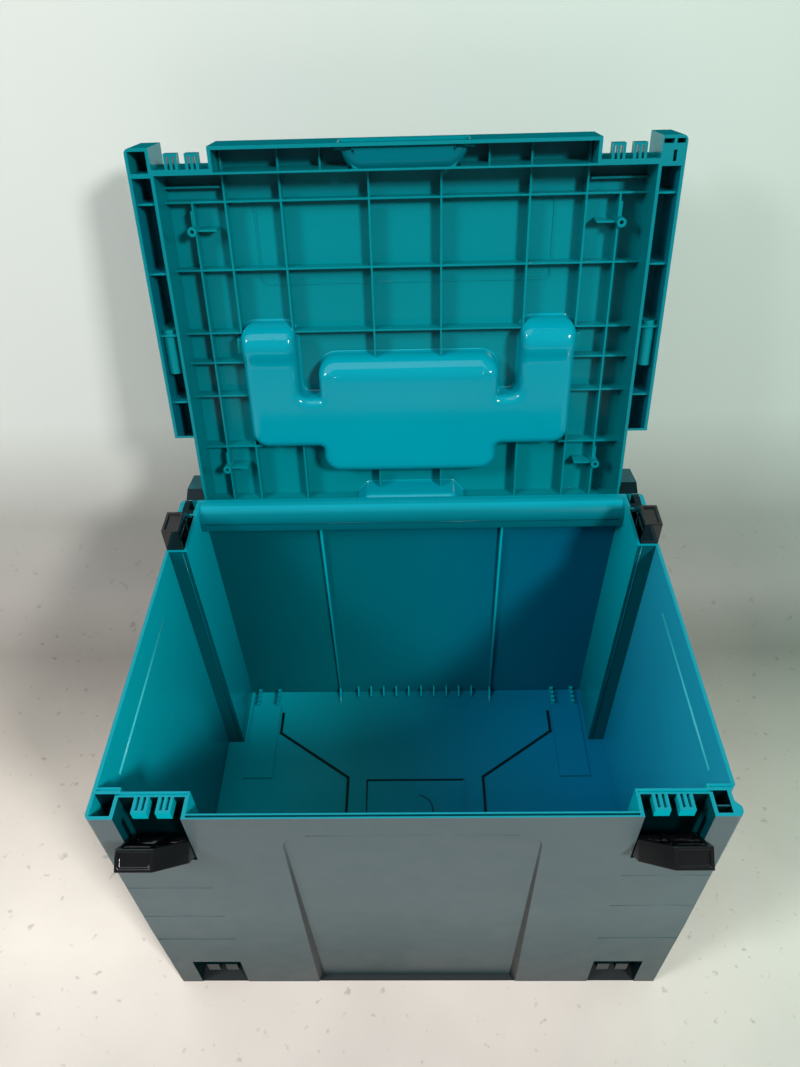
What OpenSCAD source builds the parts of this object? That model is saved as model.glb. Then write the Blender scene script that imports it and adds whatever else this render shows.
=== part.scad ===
// Stackable hard tool case: moulded body and hinged lid, sliding pull-out latches and a carry handle.
// Origin: centre of the base, on the ground. +Z is up, +X is to the right seen from the front (-Y).

/* [Case] */
// Outer width of the case at the rim
case_w = 396; // [384:1:410]
// Outer depth of the case at the rim
case_d = 296; // [286:1:310]
// Height of the body, ground to rim
body_h = 280; // [240:1:320]
// Height of the closed lid above the rim
lid_h = 35; // [34:0.5:40]
// Thickness of the side and rear walls of the body
wall = 2.5; // [2:0.1:3.2]
// Thickness of the body's floor
floor_t = 3; // [2:0.1:4]
// How far each side wall leans in from rim to ground
side_draft = 2.5; // [0:0.1:4]
// How far the front and rear walls lean in from rim to ground
front_draft = 1.5; // [0:0.1:3]
// Radius of the upright outer corners
corner_r = 4; // [2:0.5:6]
// Width of the double rim along the front
rim_w = 3.6; // [3:0.1:5]
// Width of the sealing groove in the double rim
groove_w = 1.4; // [0.8:0.1:1.6]
// Depth of the sealing groove
groove_deep = 2; // [1:0.5:4]
// Gap between the closed lid and the rim
lid_gap = 0.4; // [0.3:0.05:0.6]

/* [Front panel] */
// Width of the recessed panel in the front wall
panel_w = 163; // [120:1:180]
// Distance from the rim down to the panel's top edge
panel_drop = 23; // [15:1:60]
// Radius of the panel's top corners
panel_r = 14; // [6:1:20]
// Depth of the panel at its top edge
panel_top_deep = 1; // [0.5:0.1:2]
// Depth of the panel at the ground
panel_foot_deep = 5; // [2:0.1:6]

/* [Latches] */
// Width of each latch along its pin
latch_w = 40.5; // [38:0.5:44]
// Height of the latch above its pin
latch_h = 37.5; // [36:0.5:40]
// Width of the latch's grip end
grip_w = 23.5; // [20:0.5:28]
// Height of the slanted corner of the latch
slant_h = 20; // [14:0.5:21]
// Distance from the case's outer face in to the latch pin
pin_in = 8; // [7.5:0.1:9]
// Thickness of the latch's outer plate
latch_plate = 3; // [2:0.1:3.2]
// Thickness of the latch's webs and end wall
latch_web = 2.5; // [2:0.1:3]
// Diameter of the latch pin
latch_pin_d = 4; // [3:0.1:5]
// Travel of the latch from released to locked
latch_travel = 29.5; // [28:0.5:30]
// Height of the locked latch's pin below the rim
pin_drop = 17.5; // [16:0.5:18]
// Angle that a released latch leans out
latch_lean = 40; // [30:1:42]
// Side gap of the latch in its pocket
latch_side_gap = 0.5; // [0.3:0.1:0.8]
// Depth of the groove that guides each end of the pin
pin_groove = 1.3; // [1:0.1:1.5]
// Running clearance on the radius of a pin
pin_fit = 0.08; // [0.04:0.01:0.1]

/* [Catches] */
// Width of one ribbed catch
catch_w = 9.5; // [8:0.5:10]
// Height of a ribbed catch
catch_h = 7; // [6:0.5:7.5]
// How far a catch stands out of its wall
catch_deep = 10.5; // [9:0.5:11]
// Width of the slots between a catch's bars
catch_slot = 1.8; // [1.2:0.1:2.2]
// Distance from the pocket's grip side to the first catch
catch_first = 9.5; // [8:0.5:10]
// Distance between the two catches of a pocket
catch_pitch = 15; // [14:0.5:16]

/* [Hinge] */
// Distance from the rear face in to the hinge axis
hinge_in = 6; // [5.5:0.1:7]
// Height of the hinge axis below the rim
hinge_drop = 14; // [13:0.1:16]
// Diameter of the hinge pins
hinge_pin_d = 6; // [5:0.1:7]
// Radius of the rounded beam along the rear rim
roll_r = 13.6; // [12:0.1:13.8]
// Thickness of the lid's hinge arms
arm_t = 4.5; // [3.5:0.1:5]
// Angle that the lid opens to
lid_open = 102; // [90:1:105]

/* [Lid] */
// Thickness of the lid's top panel and walls
lid_wall = 2.4; // [2:0.1:3]
// Height of the stiffening ribs
rib_h = 12; // [6:0.5:14]
// Thickness of the stiffening ribs
rib_t = 1.4; // [1:0.1:2]
// Diameter of the screw bosses
boss_d = 7; // [6:0.5:9]
// Bore of the screw bosses
boss_bore = 3; // [2:0.1:4]
// Height of the screw bosses
boss_h = 18; // [10:0.5:22]

/* [Handle] */
// Depth of the handle's recess in the lid
recess_deep = 22; // [20:0.5:22]
// Overall width of the recess
recess_w = 265; // [250:1:280]
// Width of the recess along each arm
arm_recess_w = 39; // [36:1:42]
// Front edge of the arms' recess, from the case's centre
arm_front = -12; // [-18:1:-8]
// Front edge of the grip's recess, from the case's centre
grip_front = 50; // [46:1:54]
// Rear edge of the grip's recess, from the case's centre
grip_rear = 89; // [86:1:92]
// Width of the finger room around the grip
finger_w = 144; // [130:1:150]
// Front edge of the finger room, from the case's centre
finger_front = 16; // [12:1:20]
// Rear edge of the finger room, from the case's centre
finger_rear = 113; // [108:1:116]
// Radius of the recess's corners
recess_r = 13; // [8:1:16]
// Gap between the folded handle and its recess
handle_gap = 3; // [2:0.5:4]
// Thickness of the handle
handle_t = 17; // [14:0.5:18]
// Diameter of the handle's pins
handle_pin_d = 6; // [5:0.1:7]
// Angle that the handle lifts to
handle_lift = 90; // [80:1:95]

/* [Hidden] */
$fn = 48;

shell_teal = "#0b9aa8";
black_plastic = "#15181a";
steel = "#b9bec2";

eps = 0.02;          // how far a cutter reaches past the face it opens
lots = 60;           // reach of a cutter through open air
hx = case_w / 2;
hy = case_d / 2;
total_h = body_h + lid_h;

// --- latch pockets: x runs from the grip side, -y is outwards, the pin is the origin ---
pocket_w = latch_w + 2 * latch_side_gap;
pocket_back = 6.7;                        // pin to the pocket's rear wall
pocket_side = pin_groove + 1.1;           // thickness of the walls that guide the pin
pin_low = body_h - pin_drop - latch_travel;
pocket_floor = pin_low - 7;               // room below the released latch
latch_roll = 9;                           // outer diameter of the latch's pin tube
web_x = 20;                               // where the latch's middle web stands
grip_t = 4;                               // thickness of the latch's grip end
grip_frame = 2.5;                         // frame round the recess in the grip end
hook_w = 29;                              // width of the latch's hook
hook_t = 3.2;                             // thickness of the latch's hook
post_w = 17.5;                            // hollow post between the case's corner and a front pocket
front_first = hx - post_w - latch_side_gap;   // |x| of the front latch's grip side
side_first = hy - 63;                     // y of the side latch's grip side
post_skin = 2.3;                          // outer walls of the corner posts
well_deep = 80;                           // depth of the hollow in a corner post
foot_skin = 5;                            // walls round the hollows that open at the ground
rear_hollow = side_first + latch_w + 5.5; // front face of the hollow behind a side pocket
lined_skin = 6.3;                         // outer wall of the notched right-hand post
recess_drop = 34;                         // height of the notch in the right-hand post
column_front = side_first - latch_side_gap - pocket_side;
column_back = 3.8;                        // thickness of the front pocket's rear wall
notch_h = 45;                             // height of the notches at the foot
foot_catch_z = 19;
foot_catch_h = 12;
column_lean = 3.8;                        // how far a side column grows inwards to the floor

// --- rear beam and hinge ---
hinge_y = hy - hinge_in;
hinge_z = body_h - hinge_drop;
beam_foot = hinge_z - 7;
ear_in = 14.5;                            // lid's rear ear, outer face to inner face
ear_front = side_first + latch_w + 2.5;
arm_x = hx - 9;                           // outer face of a hinge arm
arm_gap = 0.4;
arm_r = 7.5;
cheek = 3;                                // plastic left outside a blind hinge bore
hinge_bore = 13;                          // length of a hinge bore
end_gap = 0.2;                            // play at the ends of a blind pin

// --- lid ---
lid_z = body_h + lid_gap;
pan_z = total_h - lid_wall;
lid_side = pin_in + pocket_back + 1.3;    // outer face in to the lid's inner side wall
channel_lean = 9;                         // how far a side channel's end leans, clear of the side latch
channel_wall = 2;                         // thickness of that leaning wall
channel_end = column_front - 0.1;
cove_deep = [18, 10];                     // how far the front and rear finger recesses reach in
front_rib = hy - pin_in - pocket_back - column_back;   // |y| of the wall line behind the notches

// --- handle ---
bulge_z = total_h - recess_deep - lid_wall;
handle_axis_y = arm_front + 14;
handle_z = total_h - 2 - handle_t / 2;
arm_in = recess_w / 2 - arm_recess_w;
boss_t = 4;                               // handle pin's seat beyond the recess wall
barrel_r = 18.4;                          // radius of the barrels at the arms' front ends
barrel_drop = 3;                          // how far the barrels stand out of the recess's floor

// ---------- shared shapes ----------

// A box from its two corners.
module span(a, b) { translate(a) cube(b - a); }

// The same piece on the left and the right.
module both() { children(); mirror([1, 0, 0]) children(); }

// A rectangle with round corners, from its two corners.
module round_rect(a, b, r) {
    translate([a.x + r, a.y]) square([b.x - a.x - 2 * r, b.y - a.y]);
    translate([a.x, a.y + r]) square([b.x - a.x, b.y - a.y - 2 * r]);
    for (x = [a.x + r, b.x - r], y = [a.y + r, b.y - r]) translate([x, y]) circle(r);
}

// An outline in (y, z), carried along x from x0 to x1.
module along_x(x0, x1) {
    translate([x0, 0, 0]) rotate([90, 0, 90]) linear_extrude(x1 - x0) children();
}

// An outline in (x, z), carried along y from y0 to y1.
module along_y(y0, y1) {
    translate([0, y1, 0]) rotate([90, 0, 0]) linear_extrude(y1 - y0) children();
}

// A pin along x from x0 to x1.
module rod(x0, x1, d) { translate([x0, 0, 0]) rotate([0, 90, 0]) cylinder(d = d, h = x1 - x0); }

// The four places of a latch: children are drawn in the latch's own frame, at height z of its pin.
module at_front_left(z) { translate([-front_first, -hy + pin_in, z]) children(); }
module at_side_left(z) { translate([-hx + pin_in, side_first, z]) mirror([1, -1, 0]) children(); }
module at_front_right(z) { mirror([1, 0, 0]) at_front_left(z) children(); }
module at_side_right(z) { mirror([1, 0, 0]) at_side_left(z) children(); }

// ---------- body ----------

// The body's leaning block, grown by g (negative for the cavity), from z0 to z1.
module leaning_block(g, front_g, z0, z1) {
    f = 1 - z0 / body_h;
    intersection() {
        along_y(-hy, hy) polygon([
            [-hx - g, z1], [-hx - g + side_draft * f, z0], [hx + g - side_draft * f, z0], [hx + g, z1]
        ]);
        along_x(-hx, hx) polygon([
            [-hy - front_g, z1], [-hy - front_g + front_draft * f, z0],
            [hy + g - front_draft * f, z0], [hy + g, z1]
        ]);
        translate([0, 0, z0]) linear_extrude(z1 - z0)
            round_rect([-hx - g, -hy - front_g], [hx + g, hy + g], corner_r);
    }
}

// The column behind one front corner, in world places: latch pocket, post and their walls.
module front_column() {
    x_in = hx - post_w - pocket_w - pocket_side;
    span([-hx, -hy, 0], [-x_in, -front_rib, body_h]);
    span([-hx, -hy, 0], [-hx + post_w, -front_rib + 3, body_h]);
}

// One side column, which widens towards the floor.
module side_column() {
    inner = hx - pin_in - pocket_back - pocket_side;
    span([-hx, column_front, 0], [-inner, hy, body_h]);
    along_y(column_front, hy) polygon([
        [-inner - 0.1, body_h - 30], [-inner, body_h - 30], [-inner + column_lean, 0], [-inner - 0.1, 0]
    ]);
}

// Everything that is cut for one latch: pocket, pin grooves and the notch at the foot.
module pocket_cut() {
    span([-latch_side_gap, -pin_in - lots, pocket_floor],
         [latch_w + latch_side_gap, pocket_back, body_h + lots]);
    for (z = [pin_low, pin_low + latch_travel]) translate([0, 0, z]) rod(-latch_side_gap - pin_groove,
        latch_w + latch_side_gap + pin_groove, latch_pin_d + 2 * pin_fit);
    span([-latch_side_gap - pin_groove, -latch_pin_d / 2 - pin_fit, pin_low],
         [latch_w + latch_side_gap + pin_groove, latch_pin_d / 2 + pin_fit, pin_low + latch_travel]);
    span([1, -pin_in - lots, -lots], [latch_w - 1, pocket_back, notch_h]);
    span([1, -pin_in + 3.5, notch_h - 1], [latch_w - 1, pocket_back, pocket_floor - 3]);
}

// One ribbed catch: three bars and an end bar, reaching out of its wall, from z0 up by h.
module ribbed_catch(z0, h) {
    bar = (catch_w - 2 * catch_slot) / 3;
    difference() {
        span([0, pocket_back - catch_deep, z0], [catch_w, pocket_back + 0.5, z0 + h]);
        for (i = [0, 1]) translate([bar + i * (bar + catch_slot), 0, 0])
            span([0, pocket_back - catch_deep + 1.8, z0 - eps], [catch_slot, pocket_back, z0 + h + eps]);
    }
}

// The pair of catches of one pocket.
module catch_pair(z0, h) {
    for (i = [0, 1]) translate([catch_first + i * catch_pitch, 0, 0]) ribbed_catch(z0, h);
}

// Rounded beam along the rear rim; the lid's rear edge turns around it.
module rear_beam() {
    along_x(-hx + 12, hx - 12) {
        intersection() {
            translate([hinge_y, hinge_z]) circle(roll_r, $fn = 96);
            translate([hinge_y - roll_r, hinge_z]) square([roll_r + hinge_in, roll_r]);
        }
        translate([hinge_y - roll_r, beam_foot]) square([roll_r + hinge_in, hinge_z - beam_foot + eps]);
    }
}

// Upright rib of the rear wall with a curved foot.
module rear_rib(x) {
    foot = 15;
    y1 = hy - wall;
    along_x(x - 1, x + 1) difference() {
        translate([y1 - 4 - foot, 1]) square([foot + 4 + wall / 2, beam_foot + 2]);
        translate([y1 - 4 - foot, foot + floor_t]) square([foot, body_h]);
        translate([y1 - 4 - foot, foot + floor_t]) circle(foot);
    }
}

// A straight raised bar on the floor between two points, w wide and h high.
module floor_bar(a, b, w, h) {
    d = b - a;
    translate([a.x, a.y, floor_t - 1]) rotate([0, 0, atan2(d.y, d.x)])
        translate([-w / 2, -w / 2, 0]) cube([norm(d) + w, w, h + 1]);
}

// What is moulded on the floor: bent ribs, pads, a frame with a disc, and the teeth at the rear.
module floor_relief() {
    route = [[67, -40], [67, 40], [140, 92], [140, 116]];
    both() {
        for (i = [0 : 2]) floor_bar(route[i], route[i + 1], 2.4, 1);
        span([143.5, 40, floor_t - 1], [173, 128, floor_t + 1.2]);
        for (x = [145, 166], i = [0 : 3])
            span([x, 125 + 5.5 * i, floor_t - 1], [x + 3.5, 127.5 + 5.5 * i, floor_t + 6]);
    }
    frame = [[-48, -36], [48, -36], [48, 37], [-48, 37], [-48, -36]];
    for (i = [0 : 3]) floor_bar(frame[i], frame[i + 1], 1.6, 0.8);
    translate([0, 4, floor_t - 1]) cylinder(r = 17, h = 1.8);
    for (i = [-4.5 : 4.5]) along_x(13.5 * i - 0.8, 13.5 * i + 0.8) polygon([
        [hy - 12, floor_t - 1], [hy - 12, floor_t + 2], [hy - wall - 1, floor_t + 10],
        [hy - wall, floor_t + 10], [hy - wall, floor_t - 1]
    ]);
}

// Recess of the front panel: all that lies in front of a plane that leans in towards the ground.
module panel_face(g, extra) {
    top = body_h - panel_drop;
    intersection() {
        along_x(-panel_w, panel_w) polygon([
            [-hy - lots, -lots], [-hy + panel_foot_deep + front_draft + extra, -eps],
            [-hy + panel_top_deep + extra, top + g], [-hy - lots, top + g]
        ]);
        along_y(-hy - lots, -hy + lots) {
            round_rect([-panel_w / 2 - g, panel_r], [panel_w / 2 + g, top + g], panel_r);
            translate([-panel_w / 2 - g, -lots]) square([panel_w + 2 * g, lots + 3 * panel_r]);
        }
    }
}

// Sealing groove along the front rim: along the front wall, the pockets and the posts.
module rim_groove() {
    z0 = body_h - groove_deep;
    x_in = hx - post_w - pocket_w - pocket_side;
    g = groove_w / 2;
    y_front = -hy + rim_w / 2;
    y_mid = -front_rib - column_back / 2;
    y_post = -front_rib + 3 - 1.7;
    span([-x_in - eps, y_front - g, z0], [x_in + eps, y_front + g, body_h + 1]);
    both() {
        span([-hx + post_w - 2, y_mid - g, z0], [-x_in - 1.2, y_mid + g, body_h + 1]);
        span([-hx + wall, y_post - g, z0], [-hx + post_w - 1.5, y_post + g, body_h + 1]);
    }
}

// Hollow at the top of one front corner post, with an outer wall as thick as skin.
module post_well(skin) {
    span([-hx + skin, -hy + post_skin, body_h - well_deep],
         [-hx + post_w - pocket_side, -front_rib - 1.6, body_h + 1]);
}

// Hollows that open at the ground: below a front post's well and behind a side pocket.
module foot_hollows() {
    span([-hx + foot_skin, -hy + foot_skin, -1],
         [-hx + post_w - pocket_side, -front_rib, body_h - well_deep - floor_t]);
    span([-hx + foot_skin, rear_hollow, -1], [-hx + pin_in + pocket_back, hy - wall, beam_foot - 9]);
}

// Notch in the outside of the right-hand post.
module post_recess() {
    translate([0, 0, body_h - recess_drop]) linear_extrude(recess_drop + 1) polygon([
        [hx + 1, -front_rib + 3.4], [hx - 4, -front_rib - 2.5],
        [hx - 3.5, -front_rib - 8.5], [hx + 1, -front_rib - 13]
    ]);
}

// Slot of one hinge arm in the body's rear corner, and the bore of its pin.
module hinge_cut() {
    span([-arm_x - arm_gap, hinge_y - arm_r - 1.2, hinge_z - arm_r - 1.2],
         [-arm_x + arm_t + arm_gap, hy + 1, body_h + 1]);
    translate([0, hinge_y, hinge_z]) rod(-hx + cheek, -hx + cheek + hinge_bore, hinge_pin_d + 2 * pin_fit);
}

// What the lid's rear edge sweeps: everything above and behind the beam's circle.
module rear_sweep() {
    along_x(-hx - 1, hx + 1) difference() {
        translate([hinge_y, hinge_z]) square([hinge_in + 1, hinge_drop + 1]);
        translate([hinge_y, hinge_z]) circle(roll_r, $fn = 96);
    }
}

module body_shell() {
    color(shell_teal) difference() {
        intersection() {
            leaning_block(0, 0, 0, body_h);
            union() {
                difference() {
                    leaning_block(0, 0, 0, body_h);
                    leaning_block(-wall, -rim_w, floor_t, body_h + eps);
                }
                both() { front_column(); side_column(); }
                intersection() {
                    panel_face(3, 2.6);
                    span([-panel_w, -hy + 1, 0], [panel_w, -hy + 12, body_h - panel_drop + 3]);
                }
                rear_beam();
                for (x = [-80, 80]) rear_rib(x);
                floor_relief();
            }
        }
        panel_face(0, 0);
        rim_groove();
        post_well(post_skin);
        mirror([1, 0, 0]) post_well(lined_skin);
        post_recess();
        both() { foot_hollows(); hinge_cut(); }
        both() at_front_left(0) pocket_cut();
        both() at_side_left(0) pocket_cut();
        rear_sweep();
    }
    color(shell_teal) {
        both() at_front_left(0) catch_pair(body_h - catch_h, catch_h);
        both() at_front_left(0) catch_pair(foot_catch_z, foot_catch_h);
        both() at_side_left(0) catch_pair(foot_catch_z, foot_catch_h);
        // ledge inside the right-hand post
        span([hx - post_w + 2, -hy + 7, body_h - recess_drop], [hx - lined_skin + 0.5, -hy + 8, body_h - 1]);
    }
}

// ---------- latches ----------

// One latch in its own frame: pin along x at the origin, upright along z, -y outwards.
module latch() {
    inner = pocket_back - 0.7;
    outline = [[0, -1], [latch_w, -1], [latch_w, latch_h - slant_h], [grip_w, latch_h], [0, latch_h]];
    inside = [
        [latch_web, -2], [latch_w - latch_web, -2], [latch_w - latch_web, latch_h - slant_h - 1],
        [grip_w - 1.3, latch_h - grip_t], [latch_web, latch_h - grip_t]
    ];
    hook_z = pin_drop + lid_gap + catch_h + 0.5;
    difference() {
        union() {
            rod(0, latch_w, latch_roll);
            along_y(-pin_in, -pin_in + latch_plate) polygon(outline);
            along_y(-pin_in + 1, inner) {
                difference() { polygon(outline); polygon(inside); }
                translate([web_x, -1]) square([latch_web, latch_h]);
            }
            span([1, -pin_in + 1, hook_z], [hook_w, inner - 0.5, hook_z + hook_t]);
        }
        rod(-1, latch_w + 1, latch_pin_d + 2 * pin_fit);
        span([grip_frame, -pin_in + grip_frame, latch_h - 1.6],
             [grip_w - grip_frame, inner - grip_frame + 0.5, latch_h + 1]);
    }
}

// A latch released: leaning out about its pin.
module released() { rotate([latch_lean, 0, 0]) children(); }

module front_latch_left() { color(black_plastic) at_front_left(pin_low) released() latch(); }
module front_latch_right() { color(black_plastic) at_front_right(pin_low) released() latch(); }
module side_latch_left() { color(black_plastic) at_side_left(pin_low + latch_travel) latch(); }
module side_latch_right() { color(black_plastic) at_side_right(pin_low + latch_travel) latch(); }

// The pin that a latch turns on; its ends run in the pocket's grooves.
module latch_pin() {
    over = latch_side_gap + pin_groove - 0.2;
    rod(-over, latch_w + over, latch_pin_d);
}

module front_latch_pin_left() { color(steel) at_front_left(pin_low) latch_pin(); }
module front_latch_pin_right() { color(steel) at_front_right(pin_low) latch_pin(); }
module side_latch_pin_left() { color(steel) at_side_left(pin_low + latch_travel) latch_pin(); }
module side_latch_pin_right() { color(steel) at_side_right(pin_low + latch_travel) latch_pin(); }

// ---------- hinge ----------

module hinge_pin() {
    translate([0, hinge_y, hinge_z])
        rod(-hx + cheek + end_gap, -hx + cheek + hinge_bore - end_gap, hinge_pin_d);
}
module hinge_pin_left() { color(steel) hinge_pin(); }
module hinge_pin_right() { color(steel) mirror([1, 0, 0]) hinge_pin(); }

// Turns the lid, drawn closed, to its open rest position.
module opened() {
    translate([0, hinge_y, hinge_z]) rotate([-lid_open, 0, 0]) translate([0, -hinge_y, -hinge_z]) children();
}

// ---------- lid, drawn closed ----------

// Outline of the recess for the handle; g makes it smaller.
module recess_outline(g) {
    w = recess_w / 2 - g;
    r = recess_r - g / 2;
    round_rect([-w, grip_front + g], [w, grip_rear - g], r);
    for (s = [-1, 1]) translate([s * (arm_in + arm_recess_w / 2), 0])
        round_rect([-arm_recess_w / 2 + g, arm_front + g], [arm_recess_w / 2 - g, grip_rear - g], r);
    round_rect([-finger_w / 2 + g, finger_front + g], [finger_w / 2 - g, finger_rear - g], r);
}

// Barrels at the front ends of the arms' recess, where the handle turns; g makes them smaller.
module arm_barrels(g) {
    both() translate([0, arm_front - lid_wall + barrel_r, bulge_z - barrel_drop + barrel_r])
        rod(-recess_w / 2 - lid_wall + g, -arm_in + lid_wall - g, 2 * (barrel_r - g));
}

// Finger recess in the middle of the lid's front wall, seen from above: a trapezium, deep from
// the wall inwards; g makes it larger.
module finger_cove(deep, g) {
    polygon([[-36 - g, -hy + deep + g], [36 + g, -hy + deep + g], [48 + g, -hy - 1], [-48 - g, -hy - 1]]);
}

// Plan of the lid: full rectangle with notches for the latches.
module lid_plan() {
    difference() {
        round_rect([-hx, -hy], [hx, hy], corner_r);
        for (s = [0, 1]) mirror([s, 0]) {
            translate([-hx + post_w, -hy - 1]) square([pocket_w, pin_in + pocket_back + 1]);
            translate([-hx - 1, channel_end + channel_wall])
                square([lid_side + 1, ear_front - channel_end - channel_wall]);
        }
    }
}

// In (y, z): what lies between y = far and a wall at y whose lower part leans forwards.
module leaning_side(y, far) {
    polygon([
        [y - channel_lean, lid_z - 1], [y - channel_lean, lid_z], [y, lid_z + 20], [y, pan_z],
        [far, pan_z], [far, lid_z - 1]
    ]);
}

// Hollows of the lid that open downwards.
module lid_hollows() {
    x_in = hx - post_w - pocket_w - lid_wall;
    inner = hx - lid_side - lid_wall;
    z1 = pan_z;
    span([-inner, -front_rib, lid_z - 1], [inner, hy - lid_wall, z1]);
    span([-x_in, -hy + lid_wall, lid_z - 1], [x_in, -front_rib - rib_t, z1]);
    both() {
        along_x(-hx + lid_wall, -hx + lid_side) leaning_side(channel_end, -front_rib + rib_t);
        along_x(-hx - 1, -hx + lid_side) leaning_side(channel_end + channel_wall, channel_end + channel_wall + 1);
        span([-hx + lid_wall, ear_front + lid_wall, lid_z + 12], [-hx + ear_in - lid_wall, hy - lid_wall, z1]);
    }
    span([-hx + post_skin, -hy + post_skin, lid_z - 1], [-hx + post_w - lid_wall, -front_rib - 1.6, z1]);
}

// The right-hand front corner is a closed tab with three slots.
module corner_slots() {
    x0 = hx - post_w + 1;
    span([x0 + 7.5, -hy + 9.5, lid_z - 1], [x0 + 10, -hy + 17, total_h + 1]);
    span([x0, -hy + 2.2, lid_z - 1], [x0 + 7, -hy + 5.4, lid_z + 14]);
    span([x0 + 9, -hy + 2.2, lid_z - 1], [x0 + 15, -hy + 5.4, lid_z + 14]);
}

// Stiffening ribs of the lid, each as high as h.
module lid_ribs() {
    inner = hx - lid_side - 1;
    z0 = pan_z - rib_h;
    t = rib_t / 2;
    for (x = [27, 93]) both() {
        span([x - t, -hy + 2, z0], [x + t, finger_front, pan_z + 1]);
        span([x - t, grip_rear, z0], [x + t, hy - 2, pan_z + 1]);
    }
    both() {
        span([135 - t, -hy + 2, z0], [135 + t, arm_front + 3, pan_z + 1]);
        span([135 - t, grip_rear - recess_r, z0], [135 + t, hy - 2, pan_z + 1]);
        span([160 - t, -108, z0], [160 + t, hy - 2, pan_z + 1]);
        span([62 - t, -hy + 2, z0], [62 + t, -front_rib, pan_z + 1]);
    }
    for (y = [-108, -58, -8]) span([-inner, y - t, z0], [inner, y + t, pan_z + 1]);
    both() for (y = [17, 46, 93]) span([recess_w / 2 - 4, y - t, z0], [inner, y + t, pan_z + 1]);
    both() span([138, -118 - t, z0 + 4], [inner, -118 + t, pan_z + 1]);
}

// Cross ribs and rounded stops in the side channels.
module channel_ribs() {
    t = rib_t / 2;
    for (y = [-110, -60, -12, 44]) span([-hx + 1, y - t, lid_z + 3], [-hx + lid_side + 1, y + t, pan_z + 1]);
    translate([-hx + 8, -16, lid_z + 10]) rotate([-90, 0, 0]) cylinder(r = 5.6, h = 36);
    span([-hx + 2.4, -16, lid_z + 10], [-hx + 13.6, 20, pan_z + 1]);
}

// Screw boss with its two gussets.
module screw_boss(x, y) {
    translate([x, y, pan_z - boss_h]) difference() {
        union() {
            cylinder(d = boss_d, h = boss_h + 1);
            span([0, -rib_t / 2, 4], [18, rib_t / 2, boss_h + 1]);
            span([-rib_t / 2, -14, 6], [rib_t / 2, 0, boss_h + 1]);
        }
        translate([0, 0, -1]) cylinder(d = boss_bore, h = boss_h - 1);
    }
}

// A hinge arm: a disc on the pin and a neck up to the lid's rear ear.
module hinge_arm() {
    along_x(-arm_x, -arm_x + arm_t) {
        translate([hinge_y, hinge_z]) circle(arm_r);
        translate([hinge_y - 5, hinge_z]) square([10, hinge_drop + 6]);
    }
}

// Rear ear of the lid: a corner block whose lower front edge is cut back to clear the latch.
module ear_relief() {
    along_x(-hx - 1, -hx + lid_side + 0.5) polygon([
        [ear_front - 1, lid_z - 1], [ear_front + 8, lid_z - 1], [ear_front - 1, lid_z + 10]
    ]);
}

// Shallow outline on the lid's inner face, round the bare field.
module field_outline() {
    z0 = pan_z - 0.8;
    difference() {
        translate([0, 0, z0]) linear_extrude(1.4) round_rect([-116, -107], [114, -43], 6);
        translate([0, 0, z0 - 1]) linear_extrude(3) round_rect([-115, -106], [113, -44], 5);
    }
}

module lid_closed() {
    difference() {
        union() {
            difference() {
                translate([0, 0, lid_z]) linear_extrude(total_h - lid_z) lid_plan();
                lid_hollows();
                both() ear_relief();
            }
            intersection() {
                union() { lid_ribs(); both() channel_ribs(); field_outline(); }
                translate([0, 0, lid_z]) linear_extrude(total_h - lid_z - 1) lid_plan();
            }
            for (x = [-161.5, 161.5], y = [-88, 113]) mirror([x > 0 ? 1 : 0, 0, 0])
                screw_boss(-abs(x), y);
            translate([0, 0, bulge_z]) linear_extrude(recess_deep) recess_outline(-lid_wall);
            intersection() {
                arm_barrels(0);
                translate([0, 0, lid_z]) linear_extrude(pan_z - lid_z + 1) recess_outline(-lid_wall);
            }
            both() span([-recess_w / 2 - boss_t - 2, handle_axis_y - 6, handle_z - 7],
                        [-recess_w / 2, handle_axis_y + 6, pan_z + 1]);
            for (s = [0, 1]) mirror([0, s, 0]) translate([0, 0, lid_z + 4])
                linear_extrude(pan_z - lid_z - 3)
                    intersection() { finger_cove(cove_deep[s], lid_wall); lid_plan(); }
            both() hinge_arm();
        }
        translate([0, 0, total_h - recess_deep]) linear_extrude(lots) recess_outline(0);
        intersection() {
            arm_barrels(lid_wall + 0.2);
            translate([0, 0, lid_z]) linear_extrude(total_h - lid_z + 1) recess_outline(0.5);
        }
        for (s = [0, 1]) mirror([0, s, 0]) translate([0, 0, lid_z + 4 + lid_wall])
            linear_extrude(total_h - lid_z - 13) finger_cove(cove_deep[s], 0);
        corner_slots();
        both() translate([0, handle_axis_y, handle_z])
            rod(-recess_w / 2 - boss_t, -recess_w / 2 + 1, handle_pin_d + 2 * pin_fit);
        both() translate([0, hinge_y, hinge_z]) rod(-arm_x - 1, -arm_x + arm_t + 1, hinge_pin_d + 2 * pin_fit);
    }
    both() at_front_left(0) catch_pair(lid_z, catch_h);
}

module lid_shell() { color(shell_teal) opened() lid_closed(); }

// ---------- handle, drawn folded ----------

// Outline of the handle: two arms and the grip.
module handle_outline() {
    g = handle_gap;
    w = recess_w / 2 - g;
    arm = arm_recess_w - 2 * g;
    r = recess_r - g;
    round_rect([-w, grip_front + g], [w, grip_rear - g], r);
    for (s = [-1, 1]) translate([s * (w - arm / 2), 0])
        round_rect([-arm / 2, arm_front + g], [arm / 2, grip_rear - g], r);
}

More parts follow.
